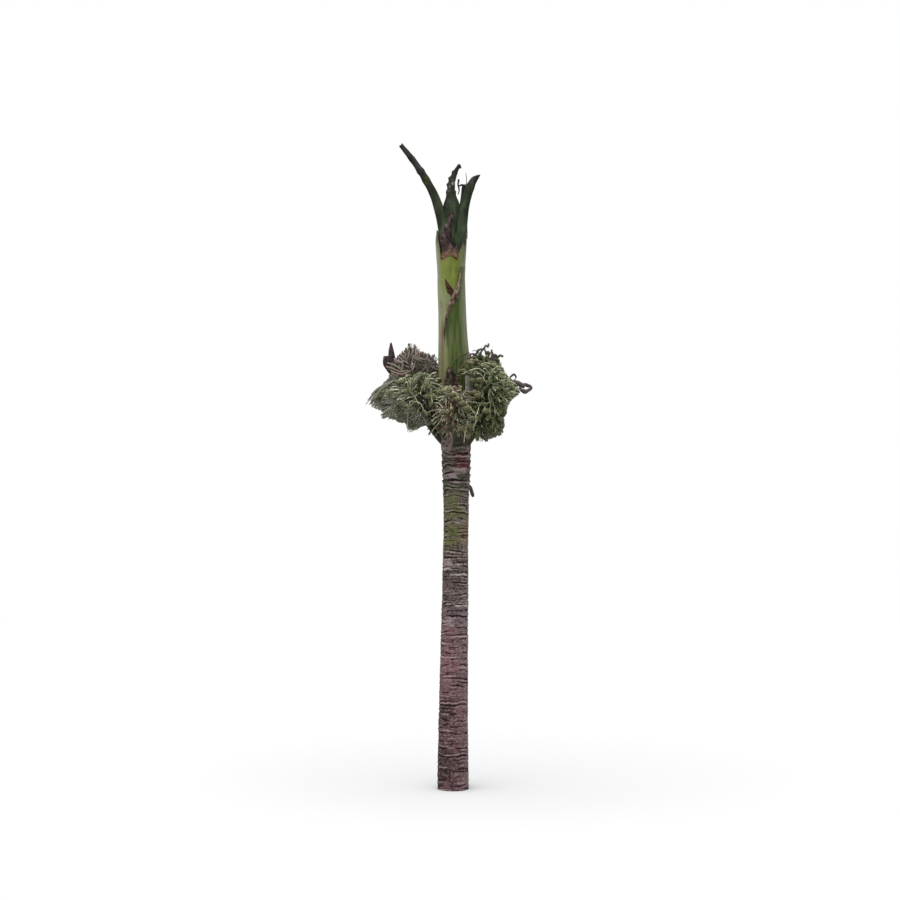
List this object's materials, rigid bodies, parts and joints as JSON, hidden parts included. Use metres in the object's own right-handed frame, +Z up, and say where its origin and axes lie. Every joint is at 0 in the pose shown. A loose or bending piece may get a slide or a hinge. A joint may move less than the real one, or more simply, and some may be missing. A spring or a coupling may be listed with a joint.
{
  "type": "carpoxylon palm",
  "caption": "Slender ringed palm trunk with a tall green crownshaft, cut leaf stalks at its top and a whorl of olive fruit clusters under the shaft.",
  "frame": {"origin": "centre of the flat cut at ground level, under the trunk", "axes": "+Z up the trunk, -Y towards the side that the picture shows, +X to the right of that side"},
  "size_m": [1.2252, 0.9672, 4.9487],
  "materials": {
    "bark": "rough ringed bark, mauve-brown at the foot and olive towards the top",
    "sheath": "waxy grey-green leaf sheath",
    "young_sheath": "smooth yellow-green leaf sheath",
    "stalk": "dark grey-green leaf stalk, dry at the cut end",
    "dry_husk": "dry purple-brown husk",
    "pale_husk": "dry pale grey husk",
    "fruit": "olive fruits with pale caps on cream and brown twigs"
  },
  "bodies": {
    "root": {"trunk": "bark", "inner_sheath": "young_sheath", "outer_sheath": "sheath", "sheath_lip": "dry_husk", "ligule": "dry_husk", "bract_front": "dry_husk", "bract_side": "pale_husk", "stalk_left": "stalk", "stalk_right": "stalk", "stalk_back": "stalk", "spear": "stalk", "cluster_front": "fruit", "cluster_front_right": "fruit", "cluster_right": "fruit", "cluster_back_right": "fruit", "cluster_back": "fruit", "cluster_back_left": "fruit", "cluster_left": "fruit", "cluster_front_left": "fruit"}
  },
  "joints": []
}
